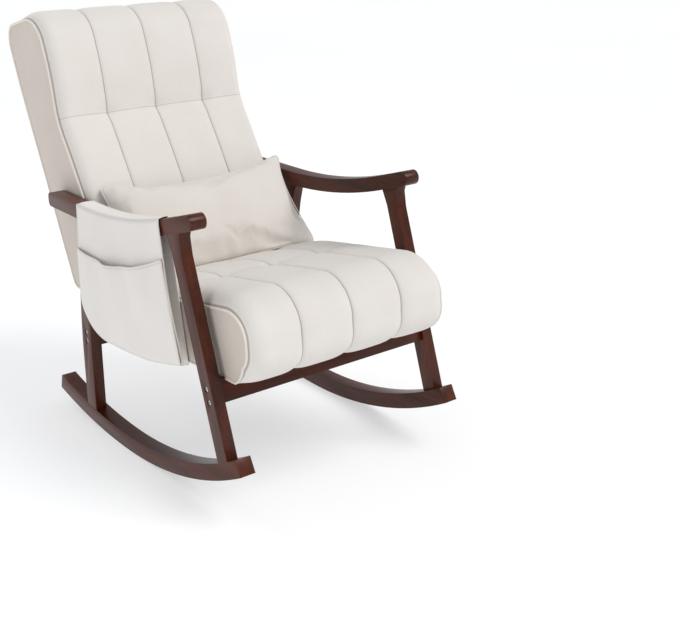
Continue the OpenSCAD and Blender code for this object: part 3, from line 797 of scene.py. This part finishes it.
def pillow_mesh(name, cells_w, cells_h):
    """Two panels sewn round the rim, in the pillow's own frame: x across, z up, y through."""
    verts, faces, uvs = [], [], []
    index = {}

    def key(side, i, j):
        return (0 if i in (0, cells_w) or j in (0, cells_h) else side, i, j)

    for side in (-1, 1):
        for j in range(cells_h + 1):
            for i in range(cells_w + 1):
                spot = key(side, i, j)
                if spot not in index:
                    index[spot] = len(verts)
                    verts.append(pillow_point(2 * i / cells_w - 1, 2 * j / cells_h - 1, spot[0]))
    for side in (-1, 1):
        for j in range(cells_h):
            for i in range(cells_w):
                corners = [(i, j), (i + 1, j), (i + 1, j + 1), (i, j + 1)]
                if side > 0:
                    corners.reverse()
                faces.append([index[key(side, p, q)] for p, q in corners])
                uvs.append([(p / cells_w * PILLOW_W, q / cells_h * PILLOW_H) for p, q in corners])
    rim = [(i, 0) for i in range(cells_w)] + [(cells_w, j) for j in range(cells_h)]
    rim += [(i, cells_h) for i in range(cells_w, 0, -1)] + [(0, j) for j in range(cells_h, 0, -1)]
    return build(name, verts, faces, uvs, PILLOW_CLOTH), [index[(0, i, j)] for i, j in rim]


def inflate(obj, pressure, frames, cap):
    """Blows obj up as cloth without gravity, then keeps each point within cap of where it started."""
    start = np.array([v.co for v in obj.data.vertices])
    mod = obj.modifiers.new("cloth", "CLOTH")
    s = mod.settings
    s.quality = 6
    s.mass = 0.25
    s.tension_stiffness = s.compression_stiffness = 18
    s.shear_stiffness = 6
    s.bending_stiffness = 0.4
    s.use_pressure = True
    s.uniform_pressure_force = pressure
    s.effector_weights.gravity = 0
    mod.collision_settings.use_collision = False
    mod.point_cache.frame_start, mod.point_cache.frame_end = 1, frames
    for f in range(1, frames + 1):
        SCENE.frame_set(f)
    got = obj.evaluated_get(bpy.context.evaluated_depsgraph_get()).to_mesh()
    end = np.array([v.co for v in got.vertices])
    obj.modifiers.remove(mod)
    SCENE.frame_set(1)
    move = end - start
    size = np.linalg.norm(move, axis=1, keepdims=True)
    move *= np.minimum(1, cap / np.maximum(size, 1e-9))
    move_points(obj, start + move)


def placed(at, turn, lean, roll):
    """Matrix that rolls about Y, leans back about X, turns about Z and then moves."""
    return (Matrix.Translation(at) @ Matrix.Rotation(math.radians(turn), 4, "Z")
            @ Matrix.Rotation(math.radians(-lean), 4, "X") @ Matrix.Rotation(math.radians(roll), 4, "Y"))


def pillow_swell(x, y, z):
    """How far the pillow's cloth stands out at a point: corner creases, soft waves and a dent in front."""
    a, b = abs(2 * x / PILLOW_W), abs(2 * z / PILLOW_H)
    corner = max(0.0, a + b - 1.05)
    swell = uneven(x * 30, z * 30, 1.0 + np.sign(y), 0.020 * corner) + uneven(x * 7, z * 9, 3.0, 0.0050)
    gathers = math.sin(x * 95 + uneven(x * 9, 0, 0, 3))
    swell += 0.0035 * b ** 3 * gathers * (1 - a ** 6) * (1 - b ** 8)
    if y < 0:
        off = ((x - DENT_X) * DENT_RISE - (z - DENT_Z) * DENT_RUN) / DENT_LENGTH
        dent = DENT_DEPTH * bell(off, 0.034 if off >= 0 else 0.050)
        swell -= dent * (1 - b ** 6) * clamp(0.45 - z / 0.16)
    return swell * min(1.0, abs(y) / 0.02)


def settle_pillow(obj):
    """Swells the pillow unevenly, then puts it in its place on the seat."""
    place = placed(PILLOW_AT, PILLOW_TURN, PILLOW_LEAN, PILLOW_ROLL)
    points = np.array([v.co for v in obj.data.vertices])
    move_points(obj, [place @ Vector((x, y + pillow_swell(x, y, z) * (1 if y > 0 else -1), z))
                      for x, y, z in points])


pillow, pillow_rim = pillow_mesh("pillow", *PILLOW_CELLS)
inflate(pillow, PRESSURE, PUFF_FRAMES, PUFF_CAP)
settle_pillow(pillow)
rim_path = [tuple(pillow.data.vertices[i].co) for i in pillow_rim]
pillow_seam = tube("pillow_seam", rim_path, PILLOW_SEAM_R, WELT_CLOTH_PAINTED_HIGHLIGHT)
soften = pillow.modifiers.new("soften", "SUBSURF")
soften.levels = soften.render_levels = 1
for piece in (pillow, pillow_seam):
    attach(piece, "lumbar_pillow")
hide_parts("pillow_cover", "pillow_filling", "pillow_zip")

# ---------------------------------------------------------------- saddle bag

ARM_TOP, ARM_R, ARM_BEND = 0.599, 1.250, 0.131
ARM_IN, ARM_OUT = -0.284, -0.325
HANG = 0.0030
BAG_FRONT, BAG_REAR, BAG_SKEW = -0.224, 0.166, 0.25
BAG_W = BAG_REAR - BAG_FRONT
BAG_DROP, INNER_DROP, POCKET_DROP = 0.320, 0.340, 0.107
BAG_COLS, INNER_ROWS, TOP_ROWS, OUTER_ROWS, POCKET_ROWS = 56, 25, 5, 33, 30
NARROW = 0.10
BAG_T = 0.0022
BINDING_R, POCKET_BINDING_R, POCKET_HEM_R = 0.0017, 0.0016, 0.0021
POCKET_MAP_H = 0.22


def arm_z(y, depth=0.0):
    """Height of the curve at that depth below the armrest's top."""
    if y >= ARM_BEND:
        return ARM_TOP - depth
    return ARM_TOP + ARM_R - math.sqrt((ARM_R + depth) ** 2 - (y - ARM_BEND) ** 2)


def bag_point(q, depth):
    """Height and place along Y of a bag point: q from front to rear, depth below the armrest's top."""
    guess = BAG_FRONT + q * BAG_W
    z = arm_z(guess, depth)
    y = guess - max(0.0, ARM_TOP + 0.04 - z) * BAG_SKEW * (1 - q) ** 1.1
    low = max(0.0, depth - (BAG_DROP - 0.085)) / 0.085
    rear = max(0.0, q - 0.72) / 0.28
    y -= 0.055 * low ** 2 * rear
    z += 0.018 * low * rear ** 2 + 0.012 * low * max(0.0, 1 - q / 0.3)
    return y, z


def inner_point(q, t):
    """Point of the bag's inner panel, which is a little narrower: t is 0 at its lower edge."""
    depth = INNER_DROP * (1 - t)
    q = NARROW + (1 - NARROW) * q
    y, z = bag_point(q, depth)
    y += 0.02 * (depth / INNER_DROP) * (1 - q)
    return (ARM_IN + 0.0018, y, z + (HANG if depth < 0.01 else 0))


def top_point(q, t):
    """Point of the strap over the armrest: t is 0 inside and 1 outside."""
    y, z = bag_point(q * (1 - NARROW + NARROW * t) + NARROW * (1 - t), 0)
    return (ARM_IN + (ARM_OUT - ARM_IN) * t, y, z + HANG + 0.0012 * math.sin(math.pi * t))


def outer_point(q, t):
    """Point of the bag's outer panel, which hangs in soft folds: t is 1 at its lower edge."""
    y, z = bag_point(q, BAG_DROP * t)
    x = ARM_OUT - HANG - 0.001 - 0.004 * math.sin(math.pi * min(1, t * 1.1)) ** 2
    x -= 0.0050 * t * (0.5 + uneven(y * 8, z * 4, 1.0, 1))
    x -= 0.0016 * math.sin(y * 42 + uneven(y * 4, z * 3, 2.0, 2)) * min(1, t * 3)
    return (x, y, z + HANG * (1 - min(1, BAG_DROP * t / 0.02)))


def bag_strip():
    """Bag body: up the inside of the armrest, over its top and down the outside."""
    rows = [(inner_point, k / INNER_ROWS) for k in range(INNER_ROWS + 1)]
    rows += [(top_point, k / TOP_ROWS) for k in range(1, TOP_ROWS)]
    rows += [(outer_point, k / OUTER_ROWS) for k in range(OUTER_ROWS + 1)]
    verts, runs = [], []
    for point, t in rows:
        verts += [point(i / BAG_COLS, t) for i in range(BAG_COLS + 1)]
        middle = Vector(verts[-1 - BAG_COLS // 2])
        runs.append(runs[-1] + (middle - last).length if runs else 0.0)
        last = middle
    return sheet_mesh("bag_body", verts, spread(BAG_W, BAG_COLS), runs, BAG_CLOTH), runs[-1], len(rows)


def pocket_point(q, v):
    """Point of the pocket's front: q from front to rear, v from its mouth down."""
    depth = POCKET_DROP + v * (BAG_DROP - POCKET_DROP - 0.002)
    depth += (0.010 * math.sin(math.pi * q) - 0.024 * (1 - q) ** 1.5) * (1 - v) ** 2
    y, z = bag_point(0.004 + 0.992 * q, depth)
    arch = math.sin(math.pi * q)
    slack = 0.009 * arch ** 0.6 * (1 - v) ** 0.55
    belly = 0.0105 * arch ** 0.8 * math.sin(math.pi * min(1, v * 0.95 + 0.05)) ** 0.8
    fold = 0.0050 * math.sin(q * 19 + 2.2 * v) * arch * (1 - v) ** 0.7
    ripple = uneven(y * 9, z * 7, 6.0, 0.0075) * min(1, 8 * q, 8 * (1 - q), 8 * (1 - v))
    return (ARM_OUT - HANG - 0.0092 - slack - belly + fold + ripple, y, z)


def pocket_sheet():
    """Pocket on the outer panel: slack at its mouth, sewn down at both sides and below."""
    verts = [pocket_point(i / BAG_COLS, j / POCKET_ROWS)
             for j in range(POCKET_ROWS + 1) for i in range(BAG_COLS + 1)]
    return sheet_mesh("bag_pocket_front", verts, spread(BAG_W, BAG_COLS),
                      spread(POCKET_MAP_H, POCKET_ROWS), BAG_CLOTH, flip=True)


bag, bag_run, bag_rows = bag_strip()
bag_area = area_of(bag)
bag_rim = sheet_rim(bag, BAG_COLS, bag_rows)
hem(bag, BAG_T)
bag_edge = tube("bag_binding", bag_rim, BINDING_R, WELT_CLOTH_PAINTED_HIGHLIGHT)

pocket = pocket_sheet()
pocket_mouth = [tuple(pocket.data.vertices[i].co) for i in range(BAG_COLS + 1)]
pocket_rim = sheet_rim(pocket, BAG_COLS, POCKET_ROWS + 1, closed=False)
hem(pocket, BAG_T)
pocket_binding = tube("pocket_binding", pocket_rim, POCKET_BINDING_R, WELT_CLOTH_PAINTED_HIGHLIGHT, closed=False)
pocket_hem = tube("pocket_hem", pocket_mouth, POCKET_HEM_R, BAG_CLOTH, closed=False)
for piece in (bag, bag_edge, pocket, pocket_binding, pocket_hem):
    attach(piece, "side_bag")
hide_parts("bag_saddle", "bag_inner_panel", "bag_outer_panel")
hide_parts("bag_pocket")

# ---------------------------------------------------------------- underside

DUST_START, DUST_LONG, DUST_WIDE = 0.130, 0.500, 0.43
DUST_COLS, DUST_ROWS = 24, 30
DUST_BELOW, DUST_SAG, DUST_T = 0.0022, 0.004, 0.0008


def dust_cloth():
    """Black cloth stapled under the seat frame, sagging a little in the middle."""
    lo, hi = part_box("seat_dust_cloth")
    verts = []
    for j in range(DUST_ROWS + 1):
        for i in range(DUST_COLS + 1):
            a, b = i / DUST_COLS, j / DUST_ROWS
            sag = DUST_SAG * math.sin(math.pi * a) * math.sin(math.pi * b)
            x = lo.x + a * (hi.x - lo.x)
            verts.append(seat_place(x, DUST_START + b * DUST_LONG, -DUST_BELOW - sag))
    obj = sheet_mesh("dust_cloth", verts, spread(DUST_WIDE, DUST_COLS), spread(DUST_LONG, DUST_ROWS),
                     BLACK_CLOTH, flip=True)
    hem(obj, DUST_T)
    return obj


dust = dust_cloth()
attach(dust, "frame")
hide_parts("seat_dust_cloth")

# ---------------------------------------------------------------- stage and light

COOL_WHITE = (0.985, 0.99, 1.0, 1)
FLOOR_DARK, FLOOR_LIGHT, FLOOR_GLOW = (0.52, 0.525, 0.53, 1), (0.54, 0.545, 0.55, 1), 0.52
FLOOR_HALF = 30
SUN_FROM, SUN_ENERGY, SUN_SPREAD = (0.50, -0.62, 0.95), 1.68, 35
WORLD_STRENGTH = 0.50


def floor():
    """A wide, pale floor that glows enough to come out white."""
    m = Mat("floor")
    soft = m.noise(m.coords((0.6, 0.6, 0.6)), 1, detail=2)
    m.surface(m.ramp(soft, (0.3, FLOOR_DARK), (0.7, FLOOR_LIGHT)), Roughness=0.9,
              Emission_Color=COOL_WHITE, Emission_Strength=FLOOR_GLOW, Specular_IOR_Level=0.1)
    mesh = bpy.data.meshes.new("floor")
    r = FLOOR_HALF
    mesh.from_pydata([(-r, -r, 0), (r, -r, 0), (r, r, 0), (-r, r, 0)], [], [(0, 1, 2, 3)])
    mesh.materials.append(m.mat)
    obj = bpy.data.objects.new("floor", mesh)
    SCENE.collection.objects.link(obj)


def add_light(light, way):
    """Puts a light in the scene, shining along way."""
    obj = bpy.data.objects.new(light.name, light)
    SCENE.collection.objects.link(obj)
    look_along(obj, way)
    return obj


def sunlight():
    """The main light, from above, in front and the sitter's left."""
    light = bpy.data.lights.new("key", "SUN")
    light.energy = SUN_ENERGY
    light.angle = math.radians(SUN_SPREAD)
    light.color = (1.0, 0.992, 0.982)
    add_light(light, -Vector(SUN_FROM))


def softbox(name, place, target, size, power, colour):
    """A rectangular area light at place, pointed at target."""
    light = bpy.data.lights.new(name, "AREA")
    light.shape = "RECTANGLE"
    light.size, light.size_y = size
    light.energy = power
    light.color = colour
    add_light(light, Vector(target) - Vector(place)).location = place


def studio():
    """Even light from all round, and colours shown as they are."""
    world = bpy.data.worlds.new("studio")
    world.use_nodes = True
    background = world.node_tree.nodes["Background"]
    background.inputs["Color"].default_value = COOL_WHITE
    background.inputs["Strength"].default_value = WORLD_STRENGTH
    SCENE.world = world
    SCENE.view_settings.view_transform = "Standard"
    SCENE.view_settings.look = "None"


floor()
sunlight()
softbox("window", place=(-0.6, 2.8, 2.2), target=(0, 0, 0.45), size=(2.4, 1.6), power=22,
        colour=(0.93, 0.96, 1.0))
softbox("side", place=(-2.4, -1.0, 0.7), target=(-0.3, -0.2, 0.4), size=(1.2, 1.0), power=8,
        colour=(1.0, 0.985, 0.97))
studio()
